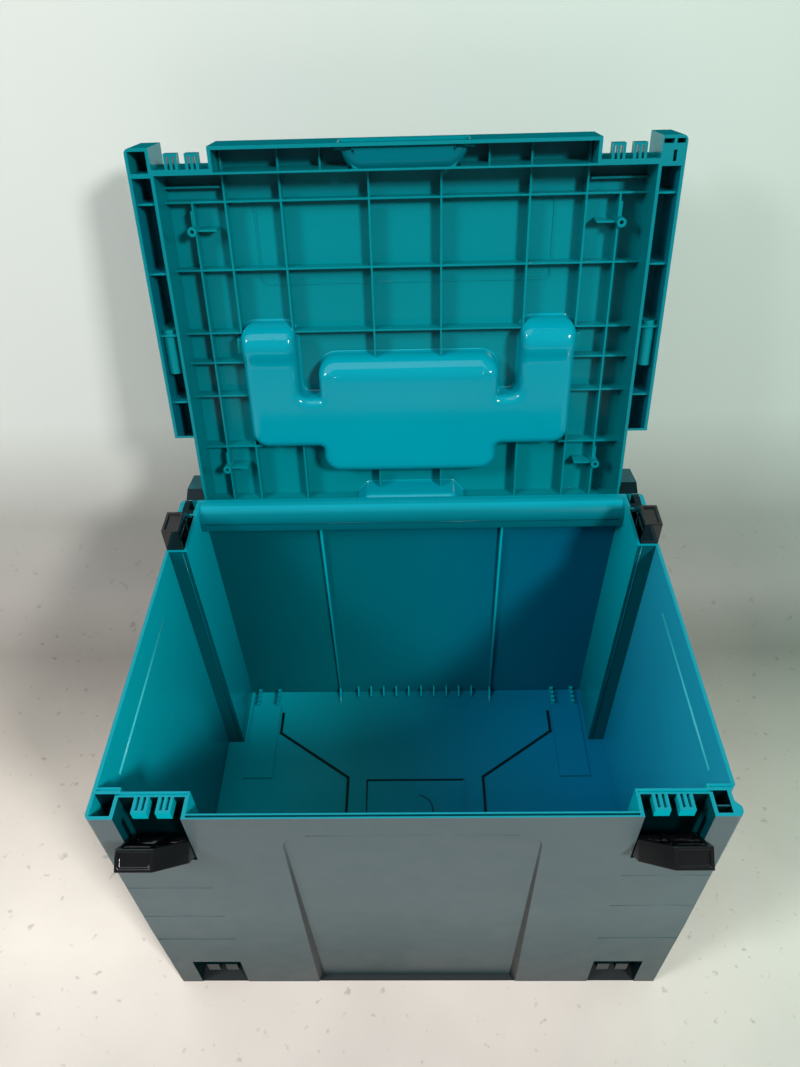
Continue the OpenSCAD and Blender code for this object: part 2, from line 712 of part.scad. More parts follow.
module handle_folded() {
    z0 = handle_z - handle_t / 2;
    y_front = arm_front + handle_gap;
    difference() {
        translate([0, 0, z0]) linear_extrude(handle_t) handle_outline();
        // hollow underside of the grip, with stiffening ribs left standing
        for (i = [-4 : 4]) span([21 * i - 9, grip_front + handle_gap + 4, z0 - 1],
                               [21 * i + 9, grip_rear - handle_gap - 4, z0 + handle_t - 4]);
        // round relief under the arms' ends, so that they turn within the recess
        both() translate([0, handle_axis_y, handle_z]) difference() {
            span([-recess_w, y_front - handle_axis_y - 1, -handle_t], [0, 0, handle_t]);
            rod(-recess_w, 1, 2 * (handle_axis_y - y_front));
        }
        both() translate([0, handle_axis_y, handle_z])
            rod(-recess_w / 2, -recess_w / 2 + 22, handle_pin_d + 2 * pin_fit);
    }
}

module carry_handle() { color(black_plastic) opened() handle_folded(); }

module handle_pin() {
    opened() translate([0, handle_axis_y, handle_z])
        rod(-recess_w / 2 - boss_t + 0.2, -recess_w / 2 + 21.5, handle_pin_d);
}
module handle_pin_left() { color(steel) handle_pin(); }
module handle_pin_right() { color(steel) mirror([1, 0, 0]) handle_pin(); }

body_shell();
lid_shell();
front_latch_left();
front_latch_right();
side_latch_left();
side_latch_right();
front_latch_pin_left();
front_latch_pin_right();
side_latch_pin_left();
side_latch_pin_right();
hinge_pin_left();
hinge_pin_right();
carry_handle();
handle_pin_left();
handle_pin_right();
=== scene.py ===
# %% [markdown]
# # A stackable tool case, dressed for looks
# The CAD model gives every size, joint and place. This lesson takes its nodes as a fixed frame,
# gives the mouldings the soft edges of injected plastic, adds the rounded forms that solids
# draw too plainly, and gives each piece a finish.

# %% Load the frame
import math

import bmesh
import bpy
import numpy as np
from mathutils import Matrix, Vector
from mathutils.geometry import delaunay_2d_cdt


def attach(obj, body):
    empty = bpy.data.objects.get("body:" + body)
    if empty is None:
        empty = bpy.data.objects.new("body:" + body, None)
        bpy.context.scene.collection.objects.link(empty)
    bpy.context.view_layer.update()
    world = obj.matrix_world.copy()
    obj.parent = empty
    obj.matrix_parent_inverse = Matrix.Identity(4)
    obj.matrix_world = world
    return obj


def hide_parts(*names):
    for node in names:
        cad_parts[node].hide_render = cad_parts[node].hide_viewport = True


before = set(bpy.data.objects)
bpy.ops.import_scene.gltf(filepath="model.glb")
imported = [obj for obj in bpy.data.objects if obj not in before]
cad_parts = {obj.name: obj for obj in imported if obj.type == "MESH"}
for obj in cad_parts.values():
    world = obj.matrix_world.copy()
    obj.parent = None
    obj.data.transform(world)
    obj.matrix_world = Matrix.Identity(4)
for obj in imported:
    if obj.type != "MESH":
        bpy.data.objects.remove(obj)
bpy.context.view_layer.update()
MM = 0.001
print("nodes:", len(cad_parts))

# %% [markdown]
# ## Camera
# A camera is a place, three turns and a focal length. The viewer stands in front of the case and
# looks down into it, so the camera is pitched down by 43 degrees. The lens is worked out
# from the focal length in pixels, for a picture 1067 pixels tall on a 36 mm sensor.

# %% Camera
PITCH, YAW, ROLL = (math.radians(a) for a in (43.257, 1.8788, -2.0794))
FOCAL_PIXELS, PICTURE_PIXELS, SENSOR_MM = 820.66, 1067, 36
EYE = (7.404 * MM, -388.479 * MM, 740.156 * MM)
camera_data = bpy.data.cameras.new("camera")
camera_data.sensor_fit = "VERTICAL"
camera_data.sensor_height = SENSOR_MM
camera_data.lens = FOCAL_PIXELS / PICTURE_PIXELS * SENSOR_MM
camera_data.clip_start, camera_data.clip_end = 0.05, 30
camera = bpy.data.objects.new("camera", camera_data)
bpy.context.scene.collection.objects.link(camera)
turn = (Matrix.Rotation(YAW, 4, "Z") @ Matrix.Rotation(math.pi / 2 - PITCH, 4, "X")
        @ Matrix.Rotation(ROLL, 4, "Z"))
camera.matrix_world = Matrix.Translation(EYE) @ turn
bpy.context.scene.camera = camera
print("lens %.2f mm" % camera_data.lens)

# %% [markdown]
# ## Surfaces from arrays
# Every new form here is a grid: a function gives a point for each pair of parameters, numpy works
# out all points at once, and the mesh takes them with from_pydata. The faces of a grid are the
# same small pattern of four corners, shifted along rows and columns.


# %% Grid and mesh helpers
def grid_faces(rows, cols, close_rows=False, close_cols=False):
    """Quads between neighbours of a rows x cols grid; a closed direction also joins last to first."""
    r = np.arange(rows if close_rows else rows - 1)[:, None]
    c = np.arange(cols if close_cols else cols - 1)[None, :]
    r1, c1 = (r + 1) % rows, (c + 1) % cols
    return np.stack([r * cols + c, r * cols + c1, r1 * cols + c1, r1 * cols + c], -1).reshape(-1, 4)


def new_piece(name, points, faces):
    """A mesh object at the origin from points in millimetres and faces; smooth, normals outwards."""
    mesh = bpy.data.meshes.new(name)
    mesh.from_pydata((np.asarray(points, float) * MM).tolist(), [], [list(map(int, f)) for f in faces])
    work = bmesh.new()
    work.from_mesh(mesh)
    bmesh.ops.remove_doubles(work, verts=work.verts, dist=1e-6)
    bmesh.ops.recalc_face_normals(work, faces=work.faces)
    work.to_mesh(mesh)
    work.free()
    mesh.shade_smooth()
    piece = bpy.data.objects.new(name, mesh)
    bpy.context.scene.collection.objects.link(piece)
    return piece


# %% [markdown]
# ## The rounded hump of the handle recess
# Seen from inside, the handle's recess is a smooth hump: upright sides, a big rounded edge, and
# a barrel at the end of each arm where the handle turns. It could be filleted in the solid, but
# here it is a profile carried round a closed path. The path is the recess's outline, made of
# straight runs and arcs, so a step inwards is simply a step along the path's normal.


# %% Closed path with round corners
def rounded_path(corners, step=1.5, run=4.0):
    """Points and outward normals, in mm, of a polygon (anticlockwise) whose corners are arcs.

    corners is a list of (x, y, radius). Each arc touches both of its sides, so its centre lies on
    the corner's bisector; the arc's normal turns evenly from one side's normal to the next one's.
    Points lie about step apart on an arc, and less than two runs apart on a straight side.
    """
    p = np.array([c[:2] for c in corners], float)
    radius = [c[2] for c in corners]
    points, normals = [], []
    for i, r in enumerate(radius):
        a, b = p[i] - p[i - 1], p[(i + 1) % len(p)] - p[i]
        a, b = a / np.linalg.norm(a), b / np.linalg.norm(b)
        bend = math.atan2(a[0] * b[1] - a[1] * b[0], a @ b)
        cut = r * abs(math.tan(bend / 2))
        n0 = np.array([a[1], -a[0]])
        side = 1 if bend > 0 else -1
        centre = p[i] - a * cut - n0 * r * side
        count = max(4, int(abs(bend) * r / step) + 1)
        turn_by = np.linspace(0, bend, count)
        n = np.stack([n0[0] * np.cos(turn_by) - n0[1] * np.sin(turn_by),
                      n0[0] * np.sin(turn_by) + n0[1] * np.cos(turn_by)], 1)
        points.append(centre + n * r * side)
        normals.append(n)
    points, normals = np.concatenate(points), np.concatenate(normals)
    # straight runs are divided too, so that quads stay short
    out_p, out_n = [], []
    for k in range(len(points)):
        q, m = points[(k + 1) % len(points)], normals[(k + 1) % len(points)]
        length = np.linalg.norm(q - points[k])
        parts = max(1, int(length / run))
        t = np.arange(parts)[:, None] / parts
        out_p.append(points[k] + (q - points[k]) * t)
        out_n.append(normals[k] + (m - normals[k]) * t)
    out_p, out_n = np.concatenate(out_p), np.concatenate(out_n)
    return out_p, out_n / np.linalg.norm(out_n, axis=1, keepdims=True)


# %% [markdown]
# The lid is drawn closed, which is easier to think in, and then turned open about the hinge.
# The hump has three bands: a flare where it leaves the panel, an upright side, and a quarter
# circle over to the flat. The flat inside is filled with triangles between a lattice of points,
# so that the barrels at the arms' ends can be bent into it afterwards.

# %% Hinge turn
HINGE = np.array([0, 142.0, 266.0])   # a point of the hinge's axis, in mm
LID_OPEN = math.radians(-102)


def turned(points, angle):
    """Points (mm) turned about the hinge axis: a plane rotation in (y, z)."""
    out = np.array(points, float)
    y, z = out[..., 1] - HINGE[1], out[..., 2] - HINGE[2]
    out[..., 1] = HINGE[1] + math.cos(angle) * y - math.sin(angle) * z
    out[..., 2] = HINGE[2] + math.sin(angle) * y + math.cos(angle) * z
    return out


def opened(points):
    """Points of the closed lid, turned open."""
    return turned(points, LID_OPEN)


def closed(points):
    """Points of the open lid, turned shut again."""
    return turned(points, -LID_OPEN)


def closed_directions(normals):
    """Normals of the open lid, turned shut with it."""
    return closed(normals + HINGE) - closed(HINGE)


# %% Hump with rounded edges
PANEL_Z = 312.6                       # inner face of the lid's top panel
HUMP_Z = 290.6                        # flat of the hump
ROUND, FRONT_ROUND = 7.0, 17.0        # radius of its edges, and of the front edge in the middle
ARM_X = 88.0, 135.0                   # the arms lie between these distances from the middle
BARREL_Y, BARREL_Z, BARREL_R = 4.0, 306.0, 18.4
BARREL_REACH = 10.1                   # how far behind its axis the barrel goes over into the flat
WALL_Y = 146.8                        # a plane inside the lid's front and rear walls
FLARE = ((1.4, -0.1), (0.5, 0.4), (0, 1.4))     # rings at the foot: mm outside the path, below the panel
LATTICE = 4.0                         # spacing of the points that fill a flat


def inward_rings(path, normals, inset, heights):
    """Rings of a closed path: point i of ring k is moved in by inset[k, i], to heights[k, i]."""
    return np.concatenate([path[None] - normals[None] * inset[..., None], heights[..., None]], -1)


def filled_ring(ring, spacing):
    """Triangles over a flat ring: its points and a lattice inside it, joined by Delaunay's rule."""
    lo, hi = ring.min(0)[:2], ring.max(0)[:2]
    gx, gy = np.meshgrid(np.arange(lo[0], hi[0], spacing), np.arange(lo[1], hi[1], spacing))
    lattice = np.stack([gx.ravel(), gy.ravel()], 1)
    gap = np.linalg.norm(lattice[:, None] - ring[None, :, :2], axis=2).min(1)
    lattice = lattice[gap > spacing * 0.5]
    flat = np.concatenate([ring[:, :2], lattice])
    loop = [(i, (i + 1) % len(ring)) for i in range(len(ring))]
    verts, _, faces, *_ = delaunay_2d_cdt([Vector(v) for v in flat], loop, [], 1, 1e-6)
    return np.array([[v.x, v.y, ring[0, 2]] for v in verts]), faces


def rounded_hump(name, corners, foot_z, top_z, edge, shape=None):
    """A hump under a panel, in mm: for a quarter circle of angle a, the ring lies r (1 - cos a)
    inside the path and r (1 - sin a) above the flat. edge gives r, the radius, for each point of
    the path and its normal; shape may bend the points afterwards."""
    path, normals = rounded_path(corners)
    radius = edge(path, normals)[None]
    a = np.linspace(0, math.pi / 2, 9)[:, None]
    foot = np.ones_like(radius)
    inset = np.concatenate([*(-out * foot for out, _ in FLARE), radius - radius * np.cos(a)])
    heights = np.concatenate([*((foot_z - down) * foot for _, down in FLARE),
                              top_z + radius - radius * np.sin(a)])
    rings = inward_rings(path, normals, inset, heights)
    cap, cap_faces = filled_ring(rings[-1], LATTICE)
    side = rings.reshape(-1, 3)
    faces = [list(f) for f in grid_faces(*rings.shape[:2], close_cols=True)]
    faces += [[i + len(side) for i in f] for f in cap_faces]
    points = np.concatenate([side, cap])
    if shape is not None:
        points = shape(points)
    faces = [f for f in faces if np.abs(points[f, 1]).min() < WALL_Y - 0.05]
    piece = new_piece(name, opened(points), faces)
    if sum(f.area * f.normal.y for f in piece.data.polygons) > 0:
        piece.data.flip_normals()
    return piece, path, normals


def bend_barrels(points):
    """Over the arms' ends the flat follows a cylinder; lower points keep their share of the height."""
    x, y, z = points.T
    near = (np.abs(x) > ARM_X[0]) & (y < BARREL_Y + BARREL_REACH)
    reach = np.clip(BARREL_R ** 2 - (y - BARREL_Y) ** 2, 0, None)
    top = BARREL_Z - np.sqrt(reach)
    share = (PANEL_Z - z) / (PANEL_Z - HUMP_Z)
    out = points.copy()
    out[near, 2] = (PANEL_Z - share * (PANEL_Z - top))[near]
    return out


def hump_edge(path, normals):
    """The radius grows smoothly to FRONT_ROUND where the middle's outline looks to the front."""
    middle = (np.abs(path[:, 0]) < 76) & (path[:, 1] < 30)
    front = np.clip(-normals[:, 1], 0, 1) * middle
    return ROUND + (FRONT_ROUND - ROUND) * front


half = [(74.4, 13.6, 14.2), (74.4, 47.6, 2), (91.1, 47.6, 7.5), (91.1, -14.4, 10), (134.9, -14.4, 10),
        (134.9, 91.4, 14.2), (74.4, 91.4, 4), (74.4, 115.4, 14.2)]
outline = half + [(-x, y, r) for x, y, r in reversed(half)]
handle_hump, hump_path, hump_normals = rounded_hump("handle_recess_hump", outline, PANEL_Z, HUMP_Z,
                                                    hump_edge, bend_barrels)
print("hump:", len(handle_hump.data.polygons), "faces")


# %% Humps of the two finger coves
COVE_TOP, COVE_BACK = 284.4, (127.6, 135.6)     # their flat, and their inner walls: front, rear
COVE_HALF = 38.4                      # half their width at the inner wall
COVE_END, COVE_FLARE = 149, 12        # at y = COVE_END they are COVE_FLARE wider on each side
COVE_OUT = 152                        # their outline goes on to here, beyond the lid's wall


def cove_path(back, r):
    """A trapezium, in mm: 76.8 wide at its inner wall, y = -back, and wider towards the lid's wall."""
    flare = (COVE_END - back) / COVE_FLARE
    wide = COVE_HALF + (COVE_OUT - back) / flare
    return [(-wide, -COVE_OUT, 1), (wide, -COVE_OUT, 1), (COVE_HALF, -back, r), (-COVE_HALF, -back, r)]


def even_edge(radius):
    """An edge with the same radius all round."""
    return lambda path, normals: np.full(len(path), float(radius))


def against_wall(points):
    """Points that would pass through the lid's outer wall are pressed flat inside it; the faces
    between them are left out, because the cove is open there."""
    out = points.copy()
    out[:, 1] = np.clip(out[:, 1], -WALL_Y, WALL_Y)
    return out


front_cove, *_ = rounded_hump("front_cove_hump", cove_path(COVE_BACK[0], 14), PANEL_Z, COVE_TOP,
                              even_edge(9), against_wall)
rear_path = [(x, -y, r) for x, y, r in reversed(cove_path(COVE_BACK[1], 6))]
rear_cove, *_ = rounded_hump("rear_cove_hump", rear_path, PANEL_Z, COVE_TOP, even_edge(5), against_wall)
for piece in (handle_hump, front_cove, rear_cove):
    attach(piece, "lid")


# %% [markdown]
# ## Soft edges on the mouldings
# No moulded edge is sharp: each has a radius of a few tenths of a millimetre, and it catches the
# light as a thin bright line. The CAD node is exact but sharp, and its mesh is loose triangles. A
# copy is welded, flat neighbours are joined again, and a Bevel modifier rounds what is left. This
# keeps every size, because a bevel takes away from a corner; only a very sharp one can then stand
# out, by a tenth of a millimetre.


# %% Welded copy with rounded edges
SHARP = math.radians(30)              # an edge that turns by more than this is a corner
FLAT = math.radians(0.5)              # one that turns by less joins two parts of one flat


def moulded_copy(node, name, radius, body, drop=None):
    """A welded copy of a CAD node whose sharp edges get a round of the given radius in mm.

    drop, if given, takes the faces' centres (mm) and normals, and says which faces to leave out."""
    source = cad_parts[node]
    mesh = source.data.copy()
    mesh.name = name
    work = bmesh.new()
    work.from_mesh(mesh)
    bmesh.ops.remove_doubles(work, verts=work.verts, dist=2e-6)
    bmesh.ops.dissolve_limit(work, angle_limit=FLAT, verts=work.verts, edges=work.edges)
    if drop is not None:
        faces = list(work.faces)
        centres = np.array([f.calc_center_median() for f in faces]) / MM
        gone = drop(centres, np.array([f.normal for f in faces]))
        bmesh.ops.delete(work, geom=[f for f, g in zip(faces, gone) if g], context="FACES")
        print(name, "leaves out", int(gone.sum()), "faces")
    work.to_mesh(mesh)
    work.free()
    mesh.shade_smooth()
    mesh.set_sharp_from_angle(angle=SHARP)
    piece = bpy.data.objects.new(name, mesh)
    bpy.context.scene.collection.objects.link(piece)
    bevel = piece.modifiers.new("soft edges", "BEVEL")
    bevel.width = radius * MM
    bevel.segments = 2
    bevel.limit_method = "ANGLE"
    bevel.angle_limit = SHARP
    even = piece.modifiers.new("even normals", "WEIGHTED_NORMAL")
    even.keep_sharp, even.weight = True, 100
    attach(piece, body)
    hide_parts(node)
    return piece


UNDER_RIM = 279.0                     # a height just under the case's rim


def divide_rim(piece, planes):
    """Cuts the flat top of the case's rim along planes, each given by a point (mm) and a normal;
    no shape changes, but the parts can then take different finishes."""
    work = bmesh.new()
    work.from_mesh(piece.data)
    for place, normal in planes:
        top = [f for f in work.faces if f.normal.z > 0.9 and f.calc_center_median().z > UNDER_RIM * MM]
        edges = {e for f in top for e in f.edges}
        verts = {v for f in top for v in f.verts}
        bmesh.ops.bisect_plane(work, geom=[*top, *edges, *verts], plane_co=Vector(place) * MM, plane_no=normal)
    work.to_mesh(piece.data)
    work.free()


def plain_humps(centres, normals):
    """Faces of the solid's square-edged humps, which the rounded ones stand for.

    With the lid turned shut, they face down at a hump's flat, or face outwards on its outline."""
    c, n = closed(centres), closed_directions(normals)
    x, y, z = c.T
    apart = c[:, None, :2] - hump_path[None]
    near = np.linalg.norm(apart, axis=2)
    k = near.argmin(1)
    beyond = (apart[np.arange(len(c)), k] * hump_normals[k]).sum(1)
    facing = (n[:, :2] * hump_normals[k]).sum(1)
    below = z < PANEL_Z - 0.05
    hump = (beyond < 0.9) & below & ((n[:, 2] < -0.3) | ((facing > 0.3) & (near.min(1) < 6)))
    x, out_x, out_y, y = np.abs(x), n[:, 0] * np.sign(x), n[:, 1] * np.sign(y), np.abs(y)
    back = np.where(c[:, 1] < 0, *COVE_BACK)
    half_width = COVE_HALF + (y - back) * COVE_FLARE / (COVE_END - back)
    cove_flat = (np.abs(z - COVE_TOP) < 0.3) & (n[:, 2] < -0.9) & (x < 52) & (y > 127)
    cove_side = (np.abs(x - half_width) < 0.8) & (out_x > 0.4) & (y > back - 0.5)
    cove_back = (np.abs(y - back) < 0.3) & (out_y < -0.7) & (x < COVE_HALF + 0.1)
    return hump | cove_flat | (cove_side & below) | (cove_back & below)


# %% Recess under the hump
RECESS_Z, WALL = 293.0, 2.4           # floor of the handle's recess, seen from outside, and the lid's wall
NEAR_Z, NEAR_PATH = 0.3, 3.5          # floor points lie this near RECESS_Z, and its corners this near the path
FLOOR_CUTS = (-3, -6, -9, -11)        # lines in y that let the floor's ends bend
FLOOR_END = (-12.6, -5)               # the ends lie between these
FLOOR_BARREL_R = 16.6


def round_recess(piece):
    """Gives the recess's floor the hump's rounded form, so that its square corners stay inside the hump.

    With a hump of radius r, a floor point must lie at least r - sqrt((r - 0.5)^2 - (r - WALL)^2) in
    from the path. At the arms' ends the floor follows the barrel:
    z = BARREL_Z - sqrt(R^2 - (y - BARREL_Y)^2)."""
    up, along = (opened(HINGE + step) - HINGE for step in ((0, 0, 1), (0, 1, 0)))
    work = bmesh.new()
    work.from_mesh(piece.data)
    for y in FLOOR_CUTS:
        flat = [f for f in work.faces if f.normal.dot(Vector(up)) > 0.9
                and abs(closed(np.array(f.calc_center_median()) / MM)[2] - RECESS_Z) < NEAR_Z]
        parts = [*flat, *{e for f in flat for e in f.edges}, *{v for f in flat for v in f.verts}]
        bmesh.ops.bisect_plane(work, geom=parts, plane_co=Vector(opened([0, y, RECESS_Z])) * MM,
                               plane_no=Vector(along))
    places = closed(np.array([v.co for v in work.verts]) / MM)
    radii = hump_edge(hump_path, hump_normals)
    moved = 0
    for vertex, place in zip(work.verts, places):
        x, y, z = place
        if abs(z - RECESS_Z) > NEAR_Z:
            continue
        gap = np.linalg.norm(place[:2] - hump_path, axis=1)
        k = gap.argmin()
        r = radii[k]
        need = r - math.sqrt((r - 0.5) ** 2 - (r - WALL) ** 2)
        if gap[k] < NEAR_PATH and need > WALL + 0.1:
            place[:2] -= hump_normals[k] * (need - WALL)
            moved += 1
        if ARM_X[0] < abs(x) < ARM_X[1] and FLOOR_END[0] < y < FLOOR_END[1]:
            place[2] = max(z, BARREL_Z - math.sqrt(FLOOR_BARREL_R ** 2 - (y - BARREL_Y) ** 2))
            moved += 1
        vertex.co = Vector(opened(place)) * MM
    work.to_mesh(piece.data)
    work.free()
    print("recess floor:", moved, "points moved")


# %% Copies of the mouldings
EDGE_MM, LATCH_EDGE_MM, HANDLE_EDGE_MM = 0.45, 0.6, 1.6
GRIP_X = 197.9                        # the side grips reach this far out, which leaves room for their bevel

body_moulding = moulded_copy("body_shell", "body_moulding", EDGE_MM, "body")
lid_moulding = moulded_copy("lid_shell", "lid_moulding", EDGE_MM, "lid", plain_humps)
round_recess(lid_moulding)
latches = []
for side in ("front", "side"):
    for hand in ("left", "right"):
        latch = f"{side}_latch_{hand}"
        latches.append(moulded_copy(latch, f"{latch}_moulding", LATCH_EDGE_MM, latch))
handle_moulding = moulded_copy("carry_handle", "carry_handle_moulding", HANDLE_EDGE_MM, "handle")
for piece in latches:
    piece.modifiers["soft edges"].use_clamp_overlap = False
for piece in latches[2:]:
    for vertex in piece.data.vertices:
        vertex.co.x = max(-GRIP_X * MM, min(GRIP_X * MM, vertex.co.x))
depsgraph = bpy.context.evaluated_depsgraph_get()
for piece in (body_moulding, lid_moulding, *latches, handle_moulding):
    shown = piece.evaluated_get(depsgraph).to_mesh()
    shown.calc_loop_triangles()
    print(piece.name, len(piece.data.polygons), "faces,", len(shown.loop_triangles), "triangles, softened")


# %% [markdown]
# ## Small lines on the mouldings
# Thin ridges finish the case's moulding: one down the front of each column, one along the beam,
# short level ones on the front beside the latches, two on the inside of each side wall, one above
# the front's sunk panel, and an arc on the floor's disc. A ridge is half an ellipse carried along a
# line. A slope goes round the sunk panel's edge.
# The side walls' beads are coloured as painted highlights; the columns' ridges, the beam's line, the floor's
# arc and the slope as painted shade.


# %% Ridges
SINK = 0.35                           # radians that a ridge's section goes past its half ellipse, into the wall
CASE_Y, CASE_Z = 148, 280             # half the depth of the case at its rim, and the rim's height
FRONT_LEAN, SIDE_LEAN = 1.5, 2.5      # how far the walls lean in from the rim to the ground
PANEL_X, CORNER, PANEL_SIDE = 81.5, 14, 243     # the sunk panel: half width, corner radius, where it starts
DISC_Y, DISC_R, DISC_Z = 4, 16.6, 3.8           # the floor's disc: centre, radius and height of its edge's line
FORWARD = (0, -1, 0)
HANDS = (("left", -1), ("right", 1))


def bead(name, points):
    """A closed bead from a grid of points (mm) with a section in each row; both ends are filled."""
    rows, ring = points.shape[:2]
    ends = [list(range(ring))[::-1], list(range((rows - 1) * ring, rows * ring))]
    return new_piece(name, points.reshape(-1, 3), grid_faces(rows, ring, close_cols=True).tolist() + ends)


def ridge(name, start, end, wide, proud, out):
    """A bead from start to end (mm): p(s, a) = start + s (end - start) + side cos a + out sin a."""
    start, end, out = (np.array(v, float) for v in (start, end, out))
    side = np.cross(end - start, out)
    side *= wide / 2 / np.linalg.norm(side)
    s = np.linspace(0, 1, 2)[:, None, None]
    a = np.linspace(-SINK, math.pi + SINK, 13)[None, :, None]
    return bead(name, start + s * (end - start) + side * np.cos(a) + out * proud * np.sin(a))


def front_y(z):
    """The case's front face at height z, in mm: it leans in from the rim to the ground."""
    return -CASE_Y + FRONT_LEAN * (1 - z / CASE_Z)


def wall_x(z):
    """The inner face of a side wall at height z, in mm: it leans in from the rim to the ground."""
    return 195.5 - SIDE_LEAN * (1 - z / CASE_Z)


def panel_slope():
    """A slope round the front's sunk panel, in mm. The panel's edge goes up at x = -PANEL_X, round
    two corners and down again; the slope is 0.9 times as wide as the panel is deep."""
    a = np.linspace(0, math.pi / 2, 12)
    up = np.linspace(0, PANEL_SIDE, 30)
    inner = PANEL_X - CORNER
    x = np.concatenate([0 * up - PANEL_X, -inner - CORNER * np.cos(a),
                        inner + CORNER * np.sin(a), 0 * up + PANEL_X])
    z = np.concatenate([up, PANEL_SIDE + CORNER * np.sin(a), PANEL_SIDE + CORNER * np.cos(a), up[::-1]])
    nx = np.concatenate([0 * up - 1, -np.cos(a), np.sin(a), 0 * up + 1])
    nz = np.concatenate([0 * up, np.sin(a), np.cos(a), 0 * up])
    face, bed = front_y(z) + 0.1, -147 + 5.5 * (1 - z / (PANEL_SIDE + CORNER))
    wide = 0.9 * (bed - face) + 0.3
    section = [(x, face, z), (x - wide * nx, bed + 0.1, z - wide * nz), (x + 0.3 * nx, bed + 0.4, z + 0.3 * nz)]
    points = np.array(section).transpose(2, 0, 1)
    points[:, :, 2] = np.clip(points[:, :, 2], 0.1, None)
    piece = bead("panel_slope", points)
    piece.data.set_sharp_from_angle(angle=math.radians(40))
    return piece


def disc_edge():
    """A bead on the right-hand part of the floor disc's edge, in mm."""
    t = np.radians(np.linspace(-20, 78, 30))[:, None]
    a = np.linspace(-SINK, math.pi + SINK, 9)[None, :]
    r = DISC_R + 0.5 * np.cos(a)
    height = DISC_Z + 0.25 * np.sin(a) + 0 * t
    return bead("disc_edge", np.stack([r * np.cos(t), DISC_Y + r * np.sin(t), height], -1))


panel_edge = panel_slope()
column_ridges = [ridge(f"column_ridge_{hand}", (m * 184.2, 81.7, 279), (m * 180.8, 81.7, 4),
                       wide=0.9, proud=0.35, out=FORWARD)
                 for hand, m in HANDS]
beam_line = ridge("beam_line", (-177, 128, 267), (177, 128, 267), wide=0.9, proud=0.25, out=FORWARD)
front_lines = [ridge(f"front_line_{hand}_{i}", (m * 196, front_y(z), z), (m * 137, front_y(z), z),
                     wide=1.0, proud=0.3, out=FORWARD)
               for (hand, m), heights in zip(HANDS, ((183, 135, 92), (200, 152, 93)))
               for i, z in enumerate(heights, 1)]
wall_lines = [ridge(f"wall_line_{hand}_{i}", (m * wall_x(z), 35, z), (m * wall_x(z), -101, z),
                    wide=0.8, proud=0.3, out=(-m, 0, 0))
              for hand, m in HANDS for i, z in enumerate((251.3, 253), 1)]
floor_arc = disc_edge()
panel_line = ridge("panel_line", (-66, front_y(257), 257.4), (66, front_y(257), 257.4),
                   wide=1.6, proud=0.2, out=FORWARD)
ridges = [*column_ridges, beam_line, *front_lines, *wall_lines, floor_arc, panel_line, panel_edge]
for piece in ridges:
    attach(piece, "body")
print("ridges:", len(ridges))

# %% [markdown]
# ## Floor, wall and light
# The case stands on a pale floor that runs up into a pale wall. One sheet does both: a profile of
# a flat run, a quarter circle and an upright run, carried sideways. It is a little warm on the left
# and a little green on the right, where painted shade also darkens it, and worn by clouds and specks
# of noise. A painted pool of light lies just in front of the case, with painted shade towards the wall
# and towards the camera, and painted shade darkens the wall towards the right.
# The upper part gives the camera some light of its own, so that the wall stays pale without more
# light on the case. Small helpers keep the node trees short: each returns an output, and takes
# either a value or another node's output for a socket.


# %% Backdrop
def backdrop(width, front, back, bend_radius, height):
    """A sheet: profile (y, z) flat to y = back - bend_radius, a quarter circle up, then a wall."""
    a = np.linspace(0, math.pi / 2, 24)
    y = np.concatenate([[front], back - bend_radius + bend_radius * np.sin(a), [back]])
    z = np.concatenate([[0], bend_radius - bend_radius * np.cos(a), [height]])
    x = np.array([-width / 2, width / 2])
    points = np.stack([np.repeat(x[:, None], len(y), 1), np.tile(y, (2, 1)), np.tile(z, (2, 1))], -1)
    return new_piece("backdrop", points.reshape(-1, 3), grid_faces(2, len(y)))


def fill(tree, socket, value):
    """Links an output to a socket, or sets the socket's own value."""
    if isinstance(value, bpy.types.NodeSocket):
        tree.links.new(value, socket)
    else:
        socket.default_value = value


def object_place(tree):
    """The Object coordinates, as a vector."""
    return tree.nodes.new("ShaderNodeTexCoord").outputs["Object"]


def object_axis(tree, axis):
    """One of the Object coordinates, X, Y or Z."""
    parts = tree.nodes.new("ShaderNodeSeparateXYZ")
    tree.links.new(object_place(tree), parts.inputs["Vector"])
    return parts.outputs[axis]


def maths(tree, operation, *values):
    """A Math node's result for one to three values."""
    node = tree.nodes.new("ShaderNodeMath")
    node.operation = operation
    for socket, value in zip(node.inputs, values):
        fill(tree, socket, value)
    return node.outputs[0]


def mixed(tree, a, b, factor=1, blend="MIX"):
    """Two colours mixed: b laid over a by factor, or a times b with blend MULTIPLY."""
    node = tree.nodes.new("ShaderNodeMix")
    node.data_type, node.blend_type = "RGBA", blend
    for name, value in (("Factor", factor), ("A", a), ("B", b)):
        fill(tree, node.inputs[name], value)
    return node.outputs["Result"]


def ranged(tree, value, low, high, to_low=0, to_high=1):
    """A value between low and high, brought to lie between to_low and to_high."""
    node = tree.nodes.new("ShaderNodeMapRange")
    for name, given in (("Value", value), ("From Min", low), ("From Max", high),
                        ("To Min", to_low), ("To Max", to_high)):
        fill(tree, node.inputs[name], given)
    return node.outputs["Result"]


def noise(tree, scale, detail=2, vector=None):
    """A noise value, on Object coordinates if no other vector is given."""
    node = tree.nodes.new("ShaderNodeTexNoise")
    for name, value in (("Scale", scale), ("Detail", detail)):
        fill(tree, node.inputs[name], value)
    tree.links.new(object_place(tree) if vector is None else vector, node.inputs["Vector"])
    return node.outputs["Fac"]


